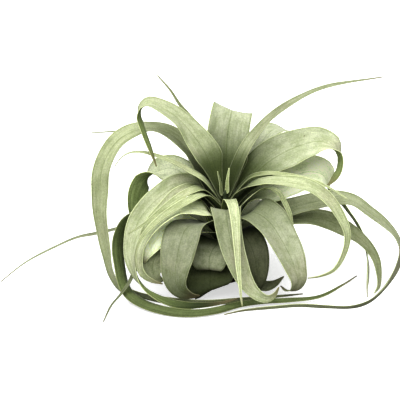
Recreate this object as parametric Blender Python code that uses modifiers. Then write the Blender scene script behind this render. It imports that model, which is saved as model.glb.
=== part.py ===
"""Tillandsia xerographica: a free-standing air plant of silvery ribbon leaves on a short stem.

Run with: blender --background --python part.py

The frame is +Z up, with the origin on the floor under the axis of the stem. The front of the
plant faces -Y. Each leaf is a tapering channelled blade, laid along its own route through the
air. The leaves are listed from the lowest and oldest to the youngest in the heart, and each one
is rooted a little higher on the stem than the one before it.
"""

from collections import namedtuple
from math import cos, radians, sin, tan

import bmesh
import bpy
import numpy as np

# Driving sizes, in millimetres
MM = 0.001
BLADE_THICKNESS = 0.9
TIP_WIDTH = 1.8
ROW_LENGTH = 12.0
WIDE_BLADE = 18.0
LEAST_ROWS = 6
CURVE_STEPS = 16
LEAST_BEND = 0.02
STRAIGHT = 1e-12
GRID_HALF = 0.5

# Leaf bases leave the stem in nested funnels: each one hugs the ring of its place in the list,
# from a wide low ring for the oldest leaf to a narrow high one for the youngest. A ring is a
# radius and a height, and the stem is STEM_SHARE of its ring's radius
LOWEST_RING = (21.0, 30.0)
HIGHEST_RING = (3.6, 92.0)
BASE_SLOPE = radians(50)
STEM_SHARE = 0.55
SEAT_GAP = 0.7
BASE_SPREAD = 1.25
FLARE_REACH = 45.0
FUNNEL_REACH = (18.0, 45.0)
TIP_CUP = 0.35

# Short stem, which the leaf bases hide
STEM_FOOT_RADIUS = 14.0
STEM_FOOT_HEIGHT = 10.0
STEM_TOP = 94.0
STEM_SIDES = 32
MERGE_DISTANCE = 0.00001

# Colours, as linear red, green and blue, and roughness
OLD_LEAF = (0.20, 0.25, 0.15)
YOUNG_LEAF = (0.36, 0.44, 0.25)
STEM_COLOUR = (0.16, 0.11, 0.06)
LEAF_ROUGHNESS = 0.7
STEM_ROUGHNESS = 0.9

# A leaf's turn is the compass direction of its base in degrees, from +X towards +Y. Its width is
# the widest of its blade, fullness says how far out it stays wide, and cup is the half angle of
# its channel in degrees. Each stop of its route is x, y, z in millimetres and a roll in degrees,
# which turns the upper face to the right of somebody walking out along the leaf.
Leaf = namedtuple("Leaf", "name turn width fullness cup route")

LEAVES = [
    Leaf("leaf_low_front_dark", 258, 50, 12, 25, [
        (-10, -36, 33, 0), (-14, -49, 28, 0), (-15, -58, 22, 0), (-15, -64, 17, 0),
        (-14, -66, 13.5, 0), (-12, -58, 11.5, 0)]),
    Leaf("leaf_spike_front_left", 205, 10, 1.0, 25, [
        (-40, -18, 40, 0), (-66, -32, 43, 0), (-82, -45, 36, 0), (-90, -55, 26, 0),
        (-95, -63, 18, 0), (-102, -72, 11, 0), (-110, -90, 7, 0), (-116, -118, 2, 0)]),
    Leaf("leaf_far_left_tail", 160, 16, 1.0, 25, [
        (-44, 18, 50, 0), (-78, 24, 55, 0), (-109, 22, 46, 0), (-129, 22, 41, 0),
        (-151, 20, 37, 0), (-177, 14, 27, 0), (-203, 6, 15, 0), (-226, -14, 2, 0)]),
    Leaf("leaf_front_right_dark", 286, 24, 3, 25, [
        (10, -30, 43, 0), (17, -42, 40, 0), (26, -52, 27, 0), (36, -56, 14, 0), (47, -55, 15, 0),
        (57, -54, 23, 0)]),
    Leaf("leaf_back_right_floor", 62, 34, 1.8, 30, [
        (22, 40, 54, 0), (42, 72, 58, 0), (58, 98, 40, 0), (66, 112, 16, 0), (66, 114, 1.6, 0)]),
    Leaf("leaf_dark_left_curl", 222, 37, 5, 30, [
        (-34, -21, 44, -10), (-53, -33, 49, -28), (-64, -45, 47, -40), (-70, -54, 40, -45),
        (-71, -60, 32, -42), (-68, -64, 25, -30), (-60, -63, 22, -15)]),
    Leaf("leaf_back_left_floor", 128, 34, 1.8, 30, [
        (-28, 36, 58, 0), (-54, 66, 62, 0), (-76, 90, 44, 0), (-88, 104, 18, 0),
        (-90, 106, 1.6, 0)]),
    Leaf("leaf_right_under_loop", -3, 34, 1.3, 25, [
        (42, 2, 56, 0), (68, 2, 63, 16), (87, 3, 64, 32), (104, 3, 61, 50), (121, 2, 53, 54),
        (134, 0, 45, 47), (145, -4, 35, 45), (152, -10, 24, 40), (154, -18, 14, 34),
        (153, -32, 5, 28), (147, -48, 3, 25)]),
    Leaf("leaf_inner_front_low", 262, 46.5, 8, 25, [
        (-4, -30, 52, 0), (-9, -43, 51.5, 0), (-15, -54, 45, 0), (-16, -60, 38, 0),
        (-16, -60.5, 33, 0), (-13, -54, 30.5, 0)]),
    Leaf("leaf_left_floor_sweep", 190, 20, 0.9, 25, [
        (-36, -6, 55, 0), (-62, -7, 67, 20), (-84, -8, 71, 45), (-98, -13, 65, 65),
        (-105, -18, 51, 75), (-106, -25, 39, 78), (-104, -35, 27, 82), (-101, -48, 17, 88),
        (-96, -62, 11, 98), (-88, -75, 8, 115), (-73, -89, 5.8, 125), (-52, -100, 4.8, 131),
        (-32, -103, 4.6, 131), (-10, -96.5, 4.6, 131), (14, -80.5, 4.6, 131), (38, -73, 4.6, 131),
        (62, -70, 4.6, 131), (90, -62, 4.6, 125), (117, -30, 4.6, 110), (134, -2, 3.6, 100)]),
    Leaf("leaf_right_big_loop", 12, 28, 1, 25, [
        (40, 9, 65, 15), (62, 3.5, 73, 26), (86, 0, 81, 27), (112, -6, 87, 16), (128, -12, 86, 5),
        (142, -17, 77, -2), (156, -21, 67, -7), (168, -25, 55, -13), (173, -30, 43, -18),
        (170, -38, 30, -23), (161, -50, 18, -30), (149, -66, 10, -40), (135, -80, 6, -52),
        (117, -91, 6, -56), (98, -90, 6, -54), (72, -86, 5.6, -48), (48, -90, 5.4, -36),
        (16, -98, 5, -24), (-2, -106, 4, -20)]),
    Leaf("leaf_back_floor", 97, 36, 1.8, 30, [
        (-6, 42, 68, 0), (-12, 76, 74, 0), (-18, 104, 54, 0), (-20, 120, 26, 0),
        (-18, 122, 2, 0)]),
    Leaf("leaf_inner_front_right", 292, 34, 4, 30, [
        (11, -30, 62, 0), (20, -46, 60, 10), (27, -59, 49, 20), (30, -67, 34, 25),
        (30, -69, 20, 25), (27, -62, 9, 20)]),
    Leaf("leaf_pale_left_inner", 212, 36, 3, 30, [
        (-26, -15, 60, -10), (-42, -25, 66.5, -28), (-54, -35, 68.5, -38), (-64, -44.5, 64, -42),
        (-71, -52, 55.5, -42), (-76, -57, 47, -38), (-79, -60, 39, -30)]),
    Leaf("leaf_left_thread", 138, 12, 1.0, 25, [
        (-25, 26, 90, 0), (-38, 45, 120, 0), (-54, 57, 136, 0), (-78, 61, 141, 0),
        (-104, 61, 139, 0), (-137, 60, 137, 0)]),
    Leaf("leaf_front_left_fall", 248, 43, 3.2, 26, [
        (-11, -24, 66, 0), (-27, -37, 71.5, -6), (-38, -49, 71, -15), (-44, -62, 61, -28),
        (-47, -70, 48, -35), (-49, -77, 36, -35), (-48, -80, 26, -32), (-43, -81, 18, -25),
        (-33, -81, 13.5, -10), (-25, -81, 13.5, 0)]),
    Leaf("leaf_upper_left_thread", 112, 12, 1.0, 25, [
        (-11, 33, 90, 0), (-17, 39, 124, 0), (-27, 42, 148, 0), (-37, 43, 161, 0),
        (-46, 44, 172, 0), (-55, 45, 186, 0), (-68, 46, 201, 0)]),
    Leaf("leaf_left_grey_face", 157, 34, 2.2, 30, [
        (-22, 13, 84, -15), (-37, 21, 101, -32), (-54, 24, 110, -42), (-66, 22, 108, -35),
        (-74, 20, 105, 20), (-82, 15, 98, 85), (-87, 11, 88, 103), (-89, 8, 74, 113),
        (-87, 7, 58, 105), (-80, 8, 40, 90), (-72, 10, 26, 90)]),
    Leaf("leaf_front_right_fall", 312, 46, 2.6, 35, [
        (17, -20, 72, 0), (29, -30, 80.5, 18), (43, -40, 74, 22), (54, -51, 60, 20),
        (62, -60, 47, 20), (67, -66, 35, 20), (70, -69, 24, 20), (67, -67, 15, 20),
        (60, -61, 11, 20), (54, -54, 13, 20)]),
    Leaf("leaf_left_front_band", 222, 26, 1.8, 30, [
        (-18, -20, 79, -22), (-27, -26, 83, -30), (-38, -31, 85, -24), (-49, -37, 84.2, -14),
        (-60, -45, 79, -9), (-70, -52, 72, -5), (-77, -57, 64, -2), (-82, -62, 54.5, 0),
        (-83, -66, 45, -4), (-82, -70, 36, -15), (-78, -73, 30, -35), (-70, -75, 26, -45),
        (-61, -77, 24, -45)]),
    Leaf("leaf_right_behind_curl", 16, 44, 2, 16, [
        (23, 10, 82, 5), (41, 20, 88.5, 38), (64, 32.5, 96.5, 57), (87, 41, 101, 57),
        (101, 42, 97, 48), (107, 39, 83, 4), (124, 33, 64, -2), (137, 22, 47, -4),
        (145, 8, 23, -3), (144, -10, 10, 0), (141, -36, 5, 0), (139, -58, 3.2, 0)]),
    Leaf("leaf_front_fall", 272, 33, 2, 60, [
        (1, -24, 81, 0), (0.5, -35, 83.5, 0), (1.5, -46, 77, 0), (3.5, -56, 66, 0),
        (7, -65, 53, 0), (12, -74, 41, 0), (17, -81, 31, 0), (24, -87, 22, 0), (32, -90, 16, 0),
        (40, -88, 13, 0), (47, -84, 16, 0), (51, -80, 22, 0)]),
    Leaf("leaf_left_outer_arc", 174, 30, 1.3, 30, [
        (-24, 4, 90, -20), (-36, 3, 98, -30), (-49, -1, 98, -30), (-63, -9, 91.5, -30),
        (-76, -20, 82, -35), (-86, -31, 71, -30), (-91, -42, 57, -5), (-92, -52, 44, 15),
        (-89.2, -62, 34, 35), (-84, -71, 25.5, 60), (-75, -79, 18.3, 90), (-59, -87, 11.4, 125),
        (-43, -92, 8.4, 150), (-23, -91.5, 8, 150), (-4, -88, 9, 150), (12, -82, 11, 150)]),
    Leaf("leaf_back_right_crest", 54, 36, 1.8, 30, [
        (15, 21, 90, 0), (33, 48, 122, 0), (50, 64, 139, 0), (70, 84, 130, 0), (86, 104, 98, 0),
        (91, 112, 70, 0)]),
    Leaf("leaf_right_strip", -14, 18, 1, 25, [
        (25, -11, 91, 0), (38, -7, 98, 0), (52, -8, 95, 35), (59, -12, 85, 48), (64, -14, 74, 60),
        (67, -14, 61, 70), (68, -13, 49, 70)]),
    Leaf("leaf_front_narrow", 280, 15, 1.1, 45, [
        (4, -24, 92, 0), (7, -39, 89.5, 0), (9, -54, 79.5, 0), (10, -66, 66, 0),
        (11, -77, 51.5, 0), (12, -87, 39, 0), (13, -95, 29, 0), (14, -102, 20, 0),
        (15, -109, 14, 0)]),
    Leaf("leaf_left_second_arc", 186, 22, 1.2, 30, [
        (-25, -3, 94, -12), (-36, -8, 97, -26), (-49, -14, 93.8, -29), (-61, -23, 85, -30),
        (-73, -33, 76, -35), (-81, -43.5, 66.5, -40), (-84.5, -53, 57, -40)]),
    Leaf("leaf_right_wide_curl", 22, 45, 3, 30, [
        (23, 10, 98, 15), (40, 21, 114, 27), (60, 32, 124, 45), (79, 40, 130, 45),
        (95, 42, 133, 45), (108, 38, 130, 20), (115, 31, 120, -45), (115, 24, 110, -59),
        (110, 18, 101, -85), (102, 14, 93, -85)]),
    Leaf("leaf_far_left_loop", 140, 30, 1, 25, [
        (-20, 17, 102, 6), (-36, 30, 126, 5), (-57, 38, 143, 5), (-76, 38, 148, 11),
        (-92, 33, 146, 4), (-108, 25, 138, 0), (-118, 18, 125, -10), (-124, 12, 109, -15),
        (-125, 6, 92, -22), (-125, 0, 73, -9), (-122, -8, 54, 6), (-118, -17, 35, 13),
        (-113, -28, 16.6, 25), (-103, -42, 6.8, 45), (-89, -53, 5.6, 55), (-72, -66, 5.6, 50),
        (-48, -75, 5.4, 40), (-20, -78, 5, 30), (20, -68, 4.6, 20), (76, -54, 4.6, 0)]),
    Leaf("leaf_left_lower_ribbon", 216, 14.5, 1, 35, [
        (-20, -16.5, 95, 0), (-35, -32, 94, -8), (-49, -43.5, 90, -18), (-61, -51, 84, -18),
        (-73, -60, 75.5, -14), (-82, -67, 66, -4), (-86, -72, 57, 10), (-87, -77, 48, 20),
        (-85, -81, 40, 20), (-81, -85, 34, 20)]),
    Leaf("leaf_back_centre", 88, 46, 2.6, 22, [
        (1, 25, 112, 5), (2, 33, 134, 6), (4, 37, 151, 8), (7, 45, 163, 8), (8, 58, 161, 6),
        (9, 79, 144, 0), (11, 98, 110, 0), (12, 106, 70, 0), (12, 100, 35, 0)]),
    Leaf("leaf_left_upper_ribbon", 202, 15.8, 1, 35, [
        (-23, -10, 99, 0), (-35, -19, 99, -9), (-49, -30, 94, -20), (-64, -42, 86, -22),
        (-79, -53, 77, -18), (-94, -61, 70, -15)]),
    Leaf("leaf_right_inner_loop", -22, 25, 1.1, 45, [
        (23, -10, 101, 0), (38, -15, 106, 8), (60, -22, 109, 22), (81, -27, 107, 36),
        (96, -31, 99, 47), (109, -34, 84, 47), (119, -37, 62, 42), (117, -39, 43, 50),
        (107, -43, 26, 50), (93, -48, 21, 40), (81, -51, 20, 30)]),
    Leaf("leaf_left_rising", 178, 19, 1, 40, [
        (-22, -5, 107, 0), (-36, -2, 115, -8), (-56, 2, 124.5, -12), (-72, 5, 129.5, -12),
        (-84, 6, 132, -10), (-96, 6, 131, -5), (-104, 5, 126, 0), (-110, 4, 118, 0)]),
    Leaf("leaf_right_narrow", 5, 10, 1.0, 40, [
        (24, 1, 107, 0), (38, 1, 111, 10), (64, 0, 110, 20), (90, -6, 105, 30),
        (105, -14, 100, 30), (121, -24, 92, 30)]),
    Leaf("leaf_upper_left_arch", 140, 36, 1.6, 35, [
        (-19, 14, 127, -18), (-30, 19, 143, -16), (-45, 24, 160, 0), (-62, 29, 171, 4),
        (-77, 31, 176, 4), (-84, 29, 171, 25), (-84, 23, 161, 75), (-80, 13, 150, 85),
        (-74, 2, 136, 95), (-68, -10, 122, 95)]),
    Leaf("leaf_upper_right_sweep", 42, 19, 1.2, 45, [
        (19, 12, 131, 0), (34, 23, 150, 0), (51, 34, 164, 0),
        (77, 46, 178, 0), (103, 54, 187, 0), (161, 60, 196, 0)]),
    Leaf("leaf_heart_left", 150, 6, 1.4, 40, [
        (-5, 2.5, 101, 0), (-7.5, 3, 113, 0)]),
    Leaf("leaf_heart_tip", 60, 5.5, 1.4, 30, [
        (2.5, 3.5, 103, 0), (4, 4, 116, 0)]),
]


def clear_scene():
    """Remove whatever the file already holds."""
    for thing in list(bpy.data.objects):
        bpy.data.objects.remove(thing)


def make_material(name, colour, roughness):
    """Return a plain Principled material."""
    material = bpy.data.materials.new(name)
    material.use_nodes = True
    shader = material.node_tree.nodes["Principled BSDF"]
    shader.inputs["Base Color"].default_value = (*colour, 1.0)
    shader.inputs["Roughness"].default_value = roughness
    shader.inputs["Metallic"].default_value = 0.0
    return material


def ring_of(share):
    """Radius and height of the ring that a leaf base hugs, for its share of the list."""
    radius = LOWEST_RING[0] + share * (HIGHEST_RING[0] - LOWEST_RING[0])
    height = LOWEST_RING[1] + share * (HIGHEST_RING[1] - LOWEST_RING[1])
    return radius, height


def seat_of(share):
    """Radius and height of the stem where the leaf of that ring is rooted."""
    radius, height = ring_of(share)
    seat = radius * STEM_SHARE
    return seat, height - (radius - seat) * tan(BASE_SLOPE)


def make_stem(collection):
    """Turn the short stem from its profile, with a flat dry foot at the floor."""
    profile = [(0.0, STEM_TOP), (seat_of(1.0)[0] / 2, STEM_TOP), seat_of(1.0), seat_of(0.0)]
    profile += [(STEM_FOOT_RADIUS, STEM_FOOT_HEIGHT), (STEM_FOOT_RADIUS, 0.0), (0.0, 0.0)]
    mesh = bpy.data.meshes.new("stem")
    mesh.from_pydata([(radius * MM, 0.0, height * MM) for radius, height in profile],
                     [(i, i + 1) for i in range(len(profile) - 1)], [])
    stem = bpy.data.objects.new("stem", mesh)
    collection.objects.link(stem)
    turn = stem.modifiers.new("turned", "SCREW")
    turn.steps = STEM_SIDES
    turn.render_steps = STEM_SIDES
    turn.use_merge_vertices = True
    turn.merge_threshold = MERGE_DISTANCE
    mesh.materials.append(make_material("stem", STEM_COLOUR, STEM_ROUGHNESS))
    return stem


def route_of(leaf, order):
    """All the stops of a leaf: its root on the stem, its ring, then those of its own route."""
    share = order / (len(LEAVES) - 1)
    ring, ring_height = ring_of(share)
    seat, seat_height = seat_of(share)
    outward = np.array([cos(radians(leaf.turn)), sin(radians(leaf.turn)), 0.0])
    upward = np.array([0.0, 0.0, 1.0])
    root = outward * (seat + SEAT_GAP) + upward * seat_height
    hug = outward * (ring + SEAT_GAP) + upward * ring_height
    stops = np.array([stop[:3] for stop in leaf.route], float)
    rolls = np.array([0.0, 0.0] + [stop[3] for stop in leaf.route])
    return np.vstack([root, hug, stops]), np.radians(rolls)


def blend(first, last, start, stop, place):
    """The point between two points, for a place between their knots."""
    share = (place - start) / (stop - start)
    return first * (1 - share) + last * share


def smooth_curve(stops, row_length):
    """Even points on a centripetal Catmull-Rom curve through the stops, and their places."""
    ends = np.vstack([2 * stops[0] - stops[1], stops, 2 * stops[-1] - stops[-2]])
    points = []
    places = []
    for i in range(len(stops) - 1):
        a, b, c, d = ends[i:i + 4]
        gaps = np.sqrt(np.linalg.norm(np.diff(ends[i:i + 4], axis=0), axis=1))
        t0, t1, t2, t3 = np.concatenate([[0.0], np.cumsum(gaps)])
        for t in np.linspace(t1, t2, CURVE_STEPS, endpoint=False):
            middle = blend(b, c, t1, t2, t)
            left = blend(blend(a, b, t0, t1, t), middle, t0, t2, t)
            right = blend(middle, blend(c, d, t2, t3, t), t1, t3, t)
            points.append(blend(left, right, t1, t2, t))
            places.append(i + (t - t1) / (t2 - t1))
    points.append(stops[-1])
    places.append(len(stops) - 1)
    points = np.array(points)
    steps = np.linalg.norm(np.diff(points, axis=0), axis=1)
    reach = np.concatenate([[0.0], np.cumsum(steps)])
    rows = max(LEAST_ROWS, int(round(reach[-1] / row_length)))
    even = np.linspace(0.0, reach[-1], rows + 1)
    curve = np.stack([np.interp(even, reach, points[:, axis]) for axis in range(3)], axis=1)
    return curve, np.interp(even, reach, places)


def carried_frames(curve, side):
    """Tangents of the curve, and the side direction carried along it without spin."""
    along = np.gradient(curve, axis=0)
    along /= np.linalg.norm(along, axis=1)[:, None]
    across = np.empty_like(along)
    across[0] = side - (side @ along[0]) * along[0]
    across[0] /= np.linalg.norm(across[0])
    for i in range(len(curve) - 1):
        step = curve[i + 1] - curve[i]
        carried = across[i] - 2 * (step @ across[i]) / (step @ step) * step
        turned = along[i] - 2 * (step @ along[i]) / (step @ step) * step
        bend = along[i + 1] - turned
        if bend @ bend > STRAIGHT:
            carried = carried - 2 * (bend @ carried) / (bend @ bend) * bend
        across[i + 1] = carried - (carried @ along[i + 1]) * along[i + 1]
        across[i + 1] /= np.linalg.norm(across[i + 1])
    return along, across


def make_leaf(leaf, order, collection):
    """Lay a tapering channelled blade along the leaf's route."""
    stops, rolls = route_of(leaf, order)
    curve, places = smooth_curve(stops, ROW_LENGTH)
    side = np.array([sin(radians(leaf.turn)), -cos(radians(leaf.turn)), 0.0])
    along, across = carried_frames(curve, side)
    roll = np.interp(places, np.arange(len(rolls)), rolls)[:, None]
    lower = np.cross(along, across)
    across = across * np.cos(roll) + lower * np.sin(roll)
    upper = np.cross(across, along)

    share = np.linspace(0.0, 1.0, len(curve))
    axis_distance = np.hypot(curve[:, 0], curve[:, 1])
    width = TIP_WIDTH + (leaf.width - TIP_WIDTH) * (1 - share ** leaf.fullness)
    flare = 1 + (axis_distance / FLARE_REACH) ** 2
    width = np.minimum(width, BASE_SPREAD * axis_distance * flare)
    free = np.clip((axis_distance - FUNNEL_REACH[0]) / (FUNNEL_REACH[1] - FUNNEL_REACH[0]), 0, 1)
    leaning = np.clip(along[:, 2], 0, 1)
    funnel = leaning * width / 2 / axis_distance
    channel = radians(leaf.cup) * (1 - (1 - TIP_CUP) * share)
    bend = funnel * (1 - free) + channel * free + LEAST_BEND

    columns = 4 if leaf.width > WIDE_BLADE else 2
    blade = bmesh.new()
    bmesh.ops.create_grid(blade, x_segments=len(curve) - 1, y_segments=columns,
                          size=GRID_HALF)
    for vert in blade.verts:
        row = int(round((vert.co.x + GRID_HALF) * (len(curve) - 1)))
        angle = bend[row] * 2 * vert.co.y
        radius = width[row] / 2 / bend[row]
        place = (curve[row] + across[row] * radius * sin(angle)
                 + upper[row] * radius * (1 - cos(angle)))
        vert.co = place * MM
    bmesh.ops.triangulate(blade, faces=blade.faces)
    mesh = bpy.data.meshes.new(leaf.name)
    blade.to_mesh(mesh)
    blade.free()
    mesh.shade_smooth()

    thing = bpy.data.objects.new(leaf.name, mesh)
    collection.objects.link(thing)
    shell = thing.modifiers.new("blade thickness", "SOLIDIFY")
    shell.thickness = BLADE_THICKNESS * MM
    shell.offset = 0.0
    shell.use_even_offset = True
    age = order / (len(LEAVES) - 1)
    colour = [old + (young - old) * age for old, young in zip(OLD_LEAF, YOUNG_LEAF)]
    mesh.materials.append(make_material(leaf.name, colour, LEAF_ROUGHNESS))
    return thing


def main():
    clear_scene()
    collection = bpy.data.collections.new("tillandsia_xerographica")
    bpy.context.scene.collection.children.link(collection)
    make_stem(collection)
    for order, leaf in enumerate(LEAVES):
        make_leaf(leaf, order, collection)


if __name__ == "__main__":
    main()
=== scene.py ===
"""Dress the air plant: fine channelled leaves, a bark stem and a plain pale studio.

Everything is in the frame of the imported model: metres, +Z up, with the origin on the floor under
the axis of the stem and the front of the plant facing -Y. The route table is in millimetres.
"""

from collections import namedtuple
from math import cos, pi, radians, sin, tan

import bmesh
import bpy
import numpy as np
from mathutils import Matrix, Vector


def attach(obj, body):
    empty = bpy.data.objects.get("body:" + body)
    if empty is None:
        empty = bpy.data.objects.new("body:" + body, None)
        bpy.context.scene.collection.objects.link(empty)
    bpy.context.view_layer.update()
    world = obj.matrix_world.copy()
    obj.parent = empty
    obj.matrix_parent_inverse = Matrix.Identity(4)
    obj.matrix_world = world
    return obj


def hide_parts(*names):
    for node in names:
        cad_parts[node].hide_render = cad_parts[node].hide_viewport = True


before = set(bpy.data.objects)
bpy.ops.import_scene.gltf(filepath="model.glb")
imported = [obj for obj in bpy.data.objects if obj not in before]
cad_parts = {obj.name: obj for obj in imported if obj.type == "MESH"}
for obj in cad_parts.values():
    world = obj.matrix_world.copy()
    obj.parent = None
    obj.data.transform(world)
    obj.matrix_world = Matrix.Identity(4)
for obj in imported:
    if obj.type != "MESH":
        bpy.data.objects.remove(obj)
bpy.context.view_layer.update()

bl_info = {
    "name": "Air plant dresser",
    "version": (1, 0, 0),
    "blender": (4, 5, 0),
    "location": "3D View > Sidebar > Air plant",
    "description": "Grows the leaves and stem of an air plant round its packed frame",
    "category": "Add Mesh",
}

MM = 0.001

# Leaf bases leave the stem in nested funnels: each one hugs the ring of its place in the list,
# from a wide low ring for the oldest leaf to a narrow high one for the youngest. A ring is a
# radius and a height in millimetres, and the stem is STEM_SHARE of its ring's radius
LOWEST_RING = (21.0, 30.0)
HIGHEST_RING = (3.6, 92.0)
BASE_SLOPE = radians(50)
STEM_SHARE = 0.55
SEAT_GAP = 0.7

# Near the stem a blade is at most BASE_SPREAD times as wide as its distance from the axis, a limit
# that has doubled at FLARE_REACH. Between the two distances of FUNNEL_REACH it turns from a part
# of the funnel into a channel of its own, of which TIP_CUP is left at the tip
BASE_SPREAD = 1.25
FLARE_REACH = 45.0
FUNNEL_REACH = (18.0, 45.0)
TIP_CUP = 0.35

# Fineness of the blades, the least bend of a row in radians, and the half side of the flat grid
# that a blade is bent from
CURVE_STEPS = 24
LEAST_ROWS = 30
LEAST_BEND = 0.02
STRAIGHT = 1e-12
GRID_HALF = 0.5

# Waves along the edges, and the groove over the midrib, in millimetres. Each leaf's waves start
# a golden turn on from those of the leaf before it
WAVE_LENGTH = 9.0
WAVE_HALF = 12.0
CREASE_HALF = 1.4
GOLDEN_TURN = 2.39996

# Rows and sides of the turned stem: a scar of an old leaf every few rows
STEM_ROW = 0.001
SCAR_ROWS = 3
STEM_SIDES = 48
MERGE_DISTANCE = 0.00001

# A leaf's turn is the direction of its base in degrees, counted from +X towards +Y. Its width is
# the widest of its blade, fullness says how far out it stays wide, and cup is the half angle of
# its channel. Each stop of its route is x, y, z in millimetres and a roll in degrees, which turns
# the upper face to the right, seen along the leaf towards its tip. The list runs from the oldest
# to the youngest
Leaf = namedtuple("Leaf", "name turn width fullness cup route")

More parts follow.
